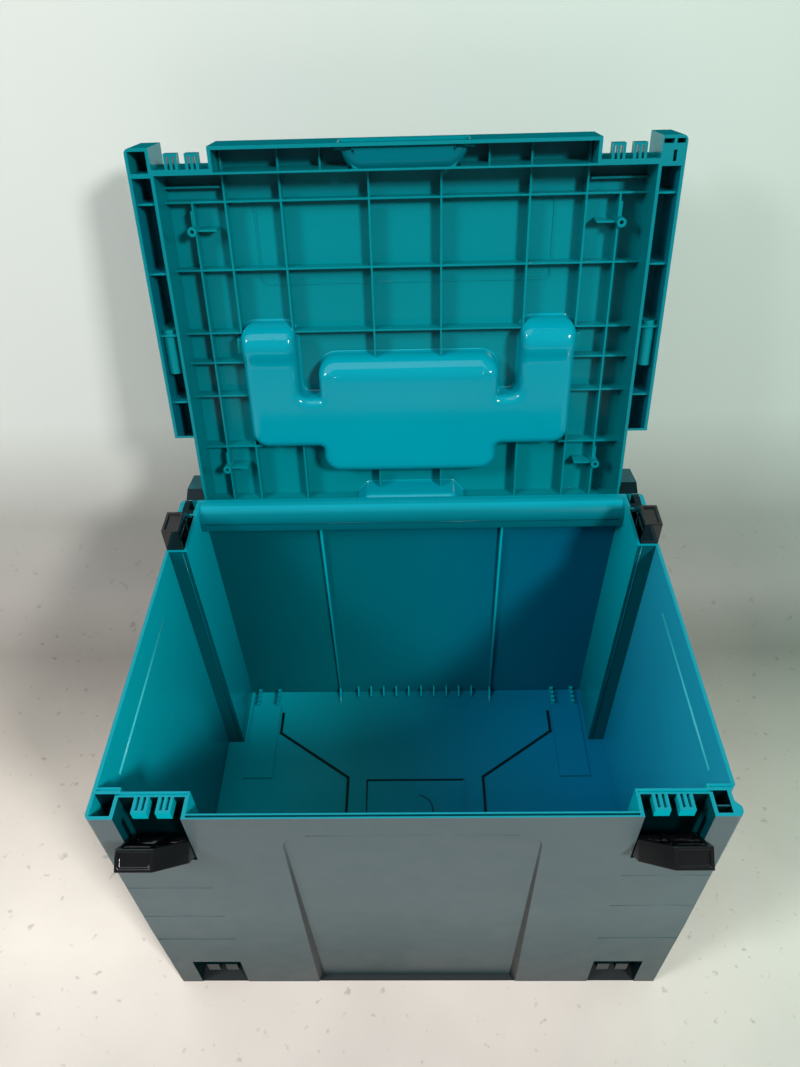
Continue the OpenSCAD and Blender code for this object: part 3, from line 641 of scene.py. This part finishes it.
def ramp_along(tree, axis, stops):
    """Colour as a function of one Object coordinate: stops are (place in m, colour), low to high."""
    low, high = stops[0][0], stops[-1][0]
    ramp = tree.nodes.new("ShaderNodeValToRGB")
    while len(ramp.color_ramp.elements) < len(stops):
        ramp.color_ramp.elements.new(0.5)
    for element, (place, colour) in zip(ramp.color_ramp.elements, stops):
        element.position = (place - low) / (high - low)
        element.color = (*colour, 1)
    tree.links.new(ranged(tree, object_axis(tree, axis), low, high), ramp.inputs["Fac"])
    return ramp.outputs["Color"]


# %% Finish of the backdrop
CASE_SHADOW = (("X", 0.190), ("Y", 0.146))      # half sizes of the dark ground under the case, in m
WALL_GLOW = 0.20

floor = backdrop(width=9000, front=-3000, back=305, bend_radius=110, height=4000)
floor.data.flip_normals()
floor_finish = bpy.data.materials.new("pale paper")
floor_finish.use_nodes = True
tree = floor_finish.node_tree
shader = tree.nodes["Principled BSDF"]
# the ground: a little warm on the left, a little green on the right, where painted shade also darkens it
ground_tint_and_shade = ramp_along(tree, "X", [(-0.3, (0.78, 0.73, 0.68)), (0.1, (0.76, 0.71, 0.66)),
                                (0.45, (0.50, 0.62, 0.54))])
# a painted pool of light just in front of the case, with painted shade towards the wall and towards the camera
depth_light_and_shade = ramp_along(tree, "Y", [(-0.3, (0.64, 0.64, 0.64)), (-0.12, (0.98, 0.96, 0.94)),
                               (0.03, (0.78, 0.75, 0.72)), (0.2, (0.38, 0.37, 0.36))])
# the wall: painted shade darkens it towards the right
wall_shade = ramp_along(tree, "X", [(-0.3, (0.57, 0.61, 0.58)), (0.15, (0.48, 0.57, 0.52)),
                                     (0.5, (0.40, 0.48, 0.43))])
upwards = ramp_along(tree, "Z", [(0.0, (0, 0, 0)), (0.25, (1, 1, 1))])
# a worn surface: slow pale clouds, and small dark specks where a fine noise is at its highest
clouds = ranged(tree, noise(tree, 7, 6), 0.3, 0.7, 0.90, 1.04)
specks = ranged(tree, noise(tree, 95), 0.66, 0.74, 1.0, 0.72)
ground = mixed(tree, ground_tint_and_shade, maths(tree, "MULTIPLY", clouds, specks), blend="MULTIPLY")
ground = mixed(tree, ground, depth_light_and_shade, blend="MULTIPLY")
# the ground right under the case is seen only through the notches at its feet, and a painted shadow makes it
# dark there
inside = (maths(tree, "COMPARE", object_axis(tree, axis), 0, half_size) for axis, half_size in CASE_SHADOW)
ground = mixed(tree, ground, (0.01, 0.015, 0.017, 1), maths(tree, "MULTIPLY", *inside))
surface = mixed(tree, ground, wall_shade, upwards)
tree.links.new(surface, shader.inputs["Base Color"])
tree.links.new(surface, shader.inputs["Emission Color"])
camera_ray = tree.nodes.new("ShaderNodeLightPath").outputs["Is Camera Ray"]
seen = maths(tree, "MULTIPLY", camera_ray, upwards)
tree.links.new(maths(tree, "MULTIPLY", seen, WALL_GLOW), shader.inputs["Emission Strength"])
shader.inputs["Roughness"].default_value = 0.6
# from behind, the wall is clear, so that the case's back can be looked at
from_behind = tree.nodes.new("ShaderNodeNewGeometry").outputs["Backfacing"]
tree.links.new(maths(tree, "SUBTRACT", 1, from_behind), shader.inputs["Alpha"])
floor.data.materials.append(floor_finish)


# %% Lamps and world
def area_lamp(name, place, aim, size, watts, colour=(1, 1, 1)):
    """Adds a square area lamp at place (m) that points at aim (m); its size is in m too."""
    data = bpy.data.lights.new(name, "AREA")
    data.shape = "SQUARE"
    data.size, data.energy, data.color = size, watts, colour
    lamp = bpy.data.objects.new(name, data)
    lamp.location = place
    lamp.rotation_euler = (Vector(aim) - Vector(place)).to_track_quat("-Z", "Y").to_euler()
    bpy.context.scene.collection.objects.link(lamp)


area_lamp("main lamp", (1.21, -1.5, 1.77), (0, 0.1, 0.3), size=0.35, watts=50, colour=(1, 0.99, 0.97))
area_lamp("side lamp", (-1.5, -0.9, 1.7), (0, 0, 0.2), size=0.5, watts=22)
area_lamp("top lamp", (-0.8, -0.1, 2.3), (0, 0, 0.2), size=2.4, watts=26)
world = bpy.data.worlds.new("soft room")
bpy.context.scene.world = world
world.use_nodes = True
sky = world.node_tree.nodes["Background"]
sky.inputs["Color"].default_value = (0.95, 0.98, 1, 1)
sky.inputs["Strength"].default_value = 0.12
bpy.context.scene.view_settings.view_transform = "Standard"

# %% [markdown]
# ## Moulded plastic
# Injected plastic is one colour all through, so its life comes from the surface: a fine grain
# that blurs reflections a little, slow waves where the melt cooled, and scuffs. The grain and the
# scuffs are needed on every plastic here, so they are one node group, with their sizes as inputs.


# %% Node group for plastic surfaces
def plastic_group():
    """Noise at three scales on Object coordinates; puts out a shade, a roughness and a normal."""
    group = bpy.data.node_groups.new("plastic surface", "ShaderNodeTree")
    number, colour, vector = "NodeSocketFloat", "NodeSocketColor", "NodeSocketVector"
    for name, kind, value in (("Colour", colour, (0.5, 0.5, 0.5, 1)), ("Grain", number, 0.1),
                              ("Grain Size", number, 1200.0), ("Waves", number, 0.05),
                              ("Base Roughness", number, 0.3), ("Scuffs", number, 0.1)):
        group.interface.new_socket(name, in_out="INPUT", socket_type=kind).default_value = value
    for name, kind in (("Colour", colour), ("Roughness", number), ("Normal", vector)):
        group.interface.new_socket(name, in_out="OUTPUT", socket_type=kind)
    given, out = group.nodes.new("NodeGroupInput").outputs, group.nodes.new("NodeGroupOutput").inputs
    grain, waves, scuffs = noise(group, given["Grain Size"]), noise(group, 9, 1), noise(group, 60, 5)
    # colour: a few per cent lighter and darker in slow clouds
    cloud = maths(group, "MULTIPLY_ADD", waves, 0.16, 0.92)
    group.links.new(mixed(group, given["Colour"], cloud, blend="MULTIPLY"), out["Colour"])
    # roughness: the base value, and scuffs where a detailed noise is high
    scuff = maths(group, "MULTIPLY", maths(group, "SUBTRACT", scuffs, 0.5), given["Scuffs"])
    group.links.new(maths(group, "ADD", scuff, given["Base Roughness"]), out["Roughness"])
    # normal: slow waves first, the grain on top
    wave_bump, grain_bump = group.nodes.new("ShaderNodeBump"), group.nodes.new("ShaderNodeBump")
    for bump, height, strength, distance in ((wave_bump, waves, "Waves", 0.002),
                                             (grain_bump, grain, "Grain", 0.0001)):
        bump.inputs["Distance"].default_value = distance
        group.links.new(height, bump.inputs["Height"])
        group.links.new(given[strength], bump.inputs["Strength"])
    group.links.new(wave_bump.outputs["Normal"], grain_bump.inputs["Normal"])
    group.links.new(grain_bump.outputs["Normal"], out["Normal"])
    return group


PLASTIC = plastic_group()


# %% Plastic finishes
def plastic(name, colour, roughness, surface, along=None, specular=0.5):
    """A plastic material: the shared surface group feeds a Principled shader kept in the material.

    colour is one colour, or stops for ramp_along when along names an axis; surface is its grain,
    waves and scuffs; specular is how much of the usual mirror light of plastic is left."""
    material = bpy.data.materials.new(name)
    material.use_nodes = True
    tree = material.node_tree
    shader, group = tree.nodes["Principled BSDF"], tree.nodes.new("ShaderNodeGroup")
    group.node_tree = PLASTIC
    group.inputs["Base Roughness"].default_value = roughness
    for socket, value in zip(("Grain", "Waves", "Scuffs"), surface):
        group.inputs[socket].default_value = value
    fill(tree, group.inputs["Colour"], ramp_along(tree, along, colour) if along else (*colour, 1))
    for output, socket in (("Colour", "Base Color"), ("Roughness", "Roughness"), ("Normal", "Normal")):
        tree.links.new(group.outputs[output], shader.inputs[socket])
    shader.inputs["Specular IOR Level"].default_value = specular
    return material


# grain, waves and scuffs of each kind of surface
GLOSSY, SMOOTH, MOULDED = (0.04, 0.05, 0.08), (0.03, 0.02, 0.05), (0.05, 0.05, 0.08)
WORN, RUBBED, EDGE = (0.1, 0.05, 0.1), (0.1, 0.02, 0.1), (0.05, 0.02, 0.1)
GRAINED, POLISHED, COARSE = (0.5, 0.05, 0.15), (0.03, 0.04, 0.08), (0.6, 0.05, 0.15)


LID_INSIDE = plastic("teal plastic of the lid's inside", (0.0, 0.21, 0.245), 0.17, GLOSSY, specular=0.25)
TEAL = plastic("teal moulded plastic", (0.0, 0.32, 0.40), 0.15, GLOSSY, specular=0.2)
HUMP = plastic("teal plastic of the humps", (0.0, 0.28, 0.36), 0.1, SMOOTH, specular=0.35)
# painted shade: a darker teal for the front cove and the columns' ridges
COVE_SHADE = plastic("teal plastic of the front cove, in painted shade", (0.0, 0.13, 0.165), 0.15, SMOOTH, specular=0.1)
# painted highlight: pale beads on the side walls
BEAD_HIGHLIGHT = plastic("beads of the side walls, pale as a painted highlight", (0.06, 0.60, 0.66), 0.15, SMOOTH)
# painted light and shade: the case's inside grows darker towards the floor and lighter towards the rim
INSIDE_LIGHT_AND_SHADE = plastic("teal plastic of the case's inside", [(0.003, (0, 0.14, 0.19)), (0.02, (0, 0.17, 0.22)),
               (0.10, (0, 0.26, 0.32)), (0.28, (0, 0.44, 0.52))], 0.18, MOULDED, along="Z", specular=0.35)
# painted light and shade: the case's floor is lit on the left and shaded towards the right
BED_LIGHT_AND_SHADE = plastic("teal plastic of the floor", [(-0.17, (0, 0.38, 0.46)), (-0.06, (0, 0.19, 0.23)),
              (0.05, (0, 0.14, 0.235)), (0.17, (0, 0.14, 0.28))], 0.18, MOULDED, along="X", specular=0.3)
# painted light and shade: the beam is darker at its foot and lighter at its top
BEAM_LIGHT_AND_SHADE = plastic("teal plastic of the rear beam, with painted light and shade", [(0.259, (0, 0.11, 0.14)), (0.268, (0, 0.13, 0.165)),
               (0.275, (0, 0.16, 0.20)), (0.279, (0, 0.29, 0.37))], 0.3, MOULDED, along="Z", specular=0.07)
# painted light: the right-hand wall is lighter and bluer, most of all near the rim
FAR_WALL_LIGHT = plastic("teal plastic of the right-hand wall, with painted light", [(0.003, (0, 0.20, 0.36)), (0.28, (0.015, 0.39, 0.56))],
              0.18, MOULDED, along="Z", specular=0.3)
# painted shade: the rear wall is darker at both ends, most of all on the left
REAR_SHADE = plastic("teal plastic of the rear wall, with painted shade", [(-0.17, (0, 0.08, 0.10)), (-0.08, (0, 0.13, 0.16)),
               (0.02, (0, 0.14, 0.19)), (0.17, (0, 0.095, 0.18))], 0.18, MOULDED, along="X", specular=0.35)
SHADED = plastic("teal plastic in shade", (0, 0.08, 0.10), 0.25, WORN, specular=0.3)
# painted shadow: a near-black teal in the pockets, wells, notches, hinge slots, floor lines and the lid's ear
# feet
PAINTED_SHADOW = plastic("near-black teal of painted shadow", (0, 0.010, 0.013), 0.3, WORN, specular=0.15)
# painted shade: the rim's top is darker than the walls below it
RIM_SHADE = plastic("teal rim top in painted shade", (0.0, 0.23, 0.29), 0.25, RUBBED, specular=0.2)
# painted highlights on the case's bevels near the rim, and painted shade on those low down
EDGE_HIGHLIGHT_AND_SHADE = plastic("teal edges of the case, with painted highlights and shade", [(0.0, (0.01, 0.05, 0.06)), (0.02, (0.01, 0.16, 0.19)),
                (0.25, (0.01, 0.17, 0.20)), (0.272, (0, 0.44, 0.54))], 0.2, EDGE, along="Z", specular=0.4)
# painted shade in the lid's side channels and on the cove's lip
CHANNEL_SHADE = plastic("teal plastic of the lid's channels, in painted shade", (0, 0.18, 0.24), 0.3, WORN, specular=0.3)
# painted shade on the lid's lower edges
LIP_SHADE = plastic("teal lip of the lid in painted shade", (0.0, 0.19, 0.225), 0.25, RUBBED, specular=0.3)
# painted highlights on the lid's bevels
LID_EDGE_HIGHLIGHT = plastic("teal edges of the lid, with painted highlights", (0.0, 0.42, 0.52), 0.2, EDGE, specular=0.4)
# painted sheen: the grained outer face is grey, and painted shade darkens it towards the foot
GREY_SHEEN_OUTSIDE = plastic("grained outer face", [(0.0, (0.010, 0.032, 0.038)), (0.07, (0.018, 0.058, 0.068)),
                  (0.14, (0.058, 0.104, 0.117)), (0.28, (0.068, 0.11, 0.125))], 0.42, GRAINED, along="Z")
# painted shade: the slope round the panel is near black, a little lighter at its top
SLOPE_SHADE = plastic("grained slope round the panel, in painted shade", [(0.0, (0.003, 0.01, 0.013)), (0.20, (0.008, 0.02, 0.026)),
                (0.25, (0.045, 0.08, 0.095))], 0.42, GRAINED, along="Z", specular=0.3)
LID_OUTSIDE = plastic("grained outer face of the lid", (0.0, 0.12, 0.145), 0.40, GRAINED, specular=0.01)
# no pale sheen at low angles
LID_OUTSIDE.node_tree.nodes["Principled BSDF"].inputs["IOR"].default_value = 1.02
BLACK = plastic("black moulded plastic", (0.006, 0.007, 0.008), 0.07, POLISHED)
GRIP = plastic("black grained plastic of the handle", (0.012, 0.013, 0.014), 0.36, COARSE)


# %% [markdown]
# The pins are plain steel wire. Drawn wire has fine streaks along its length, so the noise is
# stretched in one direction, and it changes both the colour and the roughness a little.


# %% Steel finish
def drawn_steel(name, stretch):
    """Metal whose noise is squeezed by stretch along each axis: streaks run where it is small."""
    material = bpy.data.materials.new(name)
    material.use_nodes = True
    tree = material.node_tree
    shader = tree.nodes["Principled BSDF"]
    squeeze, tone = tree.nodes.new("ShaderNodeMapping"), tree.nodes.new("ShaderNodeValToRGB")
    squeeze.inputs["Scale"].default_value = stretch
    tone.color_ramp.elements[0].color = (0.46, 0.47, 0.49, 1)
    tone.color_ramp.elements[1].color = (0.62, 0.63, 0.65, 1)
    tree.links.new(object_place(tree), squeeze.inputs["Vector"])
    streaks = noise(tree, 1500, vector=squeeze.outputs["Vector"])
    tree.links.new(streaks, tone.inputs["Fac"])
    tree.links.new(tone.outputs["Color"], shader.inputs["Base Color"])
    tree.links.new(ranged(tree, streaks, 0, 1, 0.22, 0.42), shader.inputs["Roughness"])
    shader.inputs["Metallic"].default_value = 1
    return material


STEEL_X = drawn_steel("drawn steel pin", (0.04, 1, 1))
STEEL_Y = drawn_steel("drawn steel side pin", (1, 0.04, 1))


# %% [markdown]
# The outside of the case has a grained face whose grey is a painted sheen, and the inside is
# glossy. It is one moulding, so its finishes are material slots of one mesh, and each face takes
# one by where it lies and where it looks. The pockets, the columns' fronts and the rear wall take
# painted shade, the inner walls, the floor and the beam painted light and shade, and the rim's top painted
# shade.


# %% One finish for each face
def set_material(piece, material):
    """Leaves one material on a piece."""
    piece.data.materials.clear()
    piece.data.materials.append(material)


def face_places(mesh):
    """Centres (mm) and normals of all faces, as two arrays."""
    centres, normals = np.empty((2, len(mesh.polygons) * 3))
    mesh.polygons.foreach_get("center", centres)
    mesh.polygons.foreach_get("normal", normals)
    return centres.reshape(-1, 3) / MM, normals.reshape(-1, 3)


def paint_faces(piece, finishes):
    """Gives each face the last finish whose mask is true for it; the first slot stays for the rest."""
    index = np.zeros(len(piece.data.polygons), np.int32)
    for i, (material, mask) in enumerate(finishes, 1):
        piece.data.materials.append(material)
        index[mask] = i
        print(piece.name, material.name, int(mask.sum()), "faces")
    piece.data.polygons.foreach_set("material_index", index)


def between(value, low, high):
    """True where value lies between low and high."""
    return (value > low) & (value < high)


def body_finishes(centres, normals):
    """Masks for the case, from the places of its walls: half sizes 198 x 148 mm, 280 mm high.

    x is the distance from the middle; out_x and out_y are positive where a face looks away from it."""
    x, y, z = np.abs(centres[:, 0]), centres[:, 1], centres[:, 2]
    out_x, out_y = normals[:, 0] * np.sign(centres[:, 0]), normals[:, 1] * np.sign(y)
    back, up, under_rim = normals[:, 1], normals[:, 2], z < UNDER_RIM
    # outer faces
    front = ((y < -145) | ((y < -140) & (x < 100))) & (out_y > -0.3)
    skin = ((x > 193.6) & (out_x > -0.3)) | front | ((y > 145.9) & (out_y > 0.6))
    # inner walls, the columns beside the rear corners, and the beam between them
    rear = (y > 142) & (back < -0.8) & (z < 259) & (x < 177.5)
    beam = between(y, 126, 149) & (z > 259) & (x < 178) & (up > -0.5)
    column = between(y, 79, 84) & (back < -0.9) & (x > 176)
    far = (centres[:, 0] > 184) & (out_x < -0.8) & between(y, -133, 146) & between(z, 3, 279)
    # pockets of the latches, above and below, and the hollow posts beside them
    front_pocket = between(x, 136, 183.5) & between(y, -143.5, -133.2) & (between(z, 223, 274) | (z < 46))
    front_pocket |= between(x, 138.7, 180.8) & between(y, -145.5, -133) & (z < 224)
    side_pocket = between(x, 183, 195) & between(y, 84.2, 126.3) & under_rim
    well = between(x, 182, 194.6) & between(y, -145, -130) & under_rim
    post_side = between(x, 180.1, 181) & (out_x < -0.8) & (y < -133.2) & between(z, 223, 279)
    # the rim's top, the groove in its front, and the slot at each hinge corner
    rim = (z > 279.2) & (up > 0.8)
    groove_faces = ((up > 0.5) & (z < 279.2)) | ((back < -0.8) & (y > -146.2))
    groove = between(z, 277, 279.9) & (y < -140) & groove_faces
    hinge_slot = between(x, 181.8, 194.5) & between(y, 127.9, 147) & (z > 250) & ((x > 184.5) | under_rim)
    # the floor, its raised frames, and the teeth at its back
    bed = between(z, 2.5, 10) & (y > -146) & (up > 0.5)
    lines = between(z, 3.05, 4.15) & (y < 118) & (np.hypot(x, y - 4) > 18) & (x < 142)
    side_line = between(z, 3.05, 4.25) & (y < 118) & (np.abs(up) < 0.5)
    teeth = between(z, 4.5, 14) & between(y, 118, 145.4)
    # the outer face takes a painted grey sheen; the rear wall, right-hand wall, floor and beam painted light
    # and shade; the pockets, wells, floor lines and hinge slots a near-black painted shadow; the columns'
    # fronts, the posts' sides and the groove painted shade; the rim's top painted shade too
    return ((GREY_SHEEN_OUTSIDE, skin & under_rim), (REAR_SHADE, rear), (FAR_WALL_LIGHT, far), (BED_LIGHT_AND_SHADE, bed), (TEAL, teeth), (BEAM_LIGHT_AND_SHADE, beam),
            (PAINTED_SHADOW, front_pocket | side_pocket | lines | side_line | well),
            (SHADED, column | post_side | groove), (RIM_SHADE, rim), (PAINTED_SHADOW, hinge_slot))


def lid_finishes(centres, normals):
    """Masks for the lid, turned shut: its outer skin, and the painted shade of its side channels, cove lip,
    lower edges and ears.
    """
    c, n = closed(centres), closed_directions(normals)
    x, y, z = np.abs(c[:, 0]), c[:, 1], c[:, 2]
    out_x, out_y, back, up = n[:, 0] * np.sign(c[:, 0]), n[:, 1] * np.sign(y), n[:, 1], n[:, 2]
    skin = ((x > 197) & (out_x > 0.3)) | ((np.abs(y) > 147) & (out_y > 0.3)) | ((z > 300) & (up > 0.5))
    skin |= (x > 136) & (y < -130) & (back < -0.3)
    channel = between(x, 182.2, 196.6) & between(y, -128, 88) & (up < 0.5) & (z > 284)
    stop = between(x, 184.2, 195.8) & between(y, -16.5, 20.5) & (z < 311)
    ear = (x > 176) & (y > 118) & ((out_x > 0.3) | (back < -0.5))
    ear_foot = (x > 176) & (y > 118) & (back < -0.5) & (z < 287)
    edge = (z < 281.2) & (up < -0.8)
    cove_lip = (y < -145) & between(z, 300, 311) & (up < -0.8) & (x < 60)
    return ((LID_OUTSIDE, skin), (CHANNEL_SHADE, (channel & ~stop) | cove_lip), (SHADED, ear), (LIP_SHADE, edge),
            (PAINTED_SHADOW, ear_foot))


# the ridges' finishes: painted highlights on the side walls' beads, painted shade on the columns' ridges, the
# beam's line, the floor's arc and the slope
for pieces, finish in (([body_moulding], INSIDE_LIGHT_AND_SHADE), ([lid_moulding], LID_INSIDE), ([handle_hump, rear_cove], HUMP),
                       ([front_cove, *column_ridges], COVE_SHADE), ([beam_line], SHADED), ([floor_arc], PAINTED_SHADOW),
                       (wall_lines, BEAD_HIGHLIGHT), ([*front_lines, panel_line], GREY_SHEEN_OUTSIDE), ([panel_edge], SLOPE_SHADE)):
    for piece in pieces:
        set_material(piece, finish)
slot_sides = [((m * x, 0, 0), (1, 0, 0)) for m in (-1, 1) for x in (184.5, 194.5)]
divide_rim(body_moulding, [*slot_sides, ((0, 128, 0), (0, 1, 0))])
paint_faces(body_moulding, body_finishes(*face_places(body_moulding.data)))
paint_faces(lid_moulding, lid_finishes(*face_places(lid_moulding.data)))
# the bevels' new faces take the edges' finishes: painted highlights near the rim, painted shade lower down
for piece, light in ((body_moulding, EDGE_HIGHLIGHT_AND_SHADE), (lid_moulding, LID_EDGE_HIGHLIGHT)):
    piece.data.materials.append(light)
    piece.modifiers["soft edges"].material = len(piece.data.materials) - 1
for latch in latches:
    set_material(latch, BLACK)
set_material(handle_moulding, GRIP)
for name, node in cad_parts.items():
    if "pin" in name:
        for slot in node.material_slots:
            slot.material = STEEL_Y if name.startswith("side") else STEEL_X
print("pins:", [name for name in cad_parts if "pin" in name])
